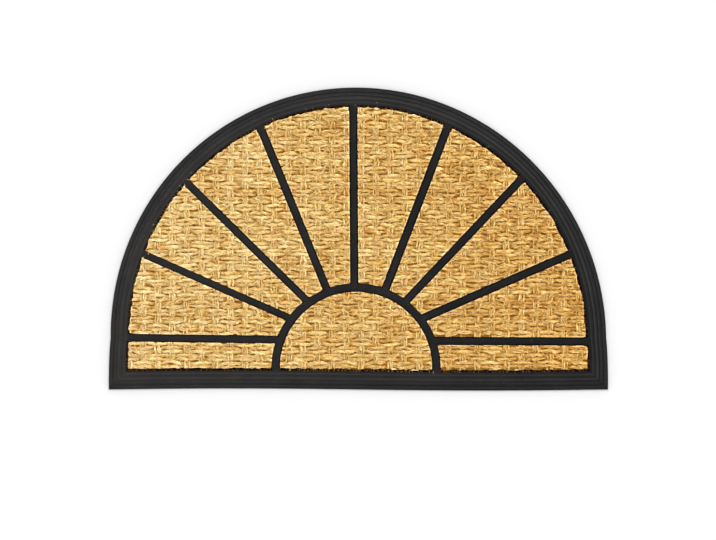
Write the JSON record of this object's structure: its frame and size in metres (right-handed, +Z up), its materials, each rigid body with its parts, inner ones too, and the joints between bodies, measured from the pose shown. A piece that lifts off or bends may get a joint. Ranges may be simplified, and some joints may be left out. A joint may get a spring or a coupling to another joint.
{
  "type": "half-round coir doormat",
  "caption": "Half-round doormat: a black moulded rubber tray with a bevelled border and sunburst ribs holds panels of thick woven natural coir.",
  "frame": {"origin": "on the underside, under the middle of the mat's bounding box", "axes": "+X along the straight edge, +Y from the straight edge towards the crown of the arch, +Z up out of the coir"},
  "size_m": [0.75, 0.4552, 0.0083],
  "materials": {
    "rubber": "matt moulded black rubber, slightly grainy, with fine concentric beads on the border",
    "coir": "coarse basket weave of natural golden coir yarn, hairy and matt"
  },
  "bodies": {
    "root": {"rubber_tray": "rubber", "coir_sun": "coir", "coir_ray_1": "coir", "coir_ray_2": "coir", "coir_ray_3": "coir", "coir_ray_4": "coir", "coir_ray_5": "coir", "coir_ray_6": "coir", "coir_ray_7": "coir", "coir_ray_8": "coir", "coir_strip_left": "coir", "coir_strip_right": "coir"}
  },
  "joints": []
}
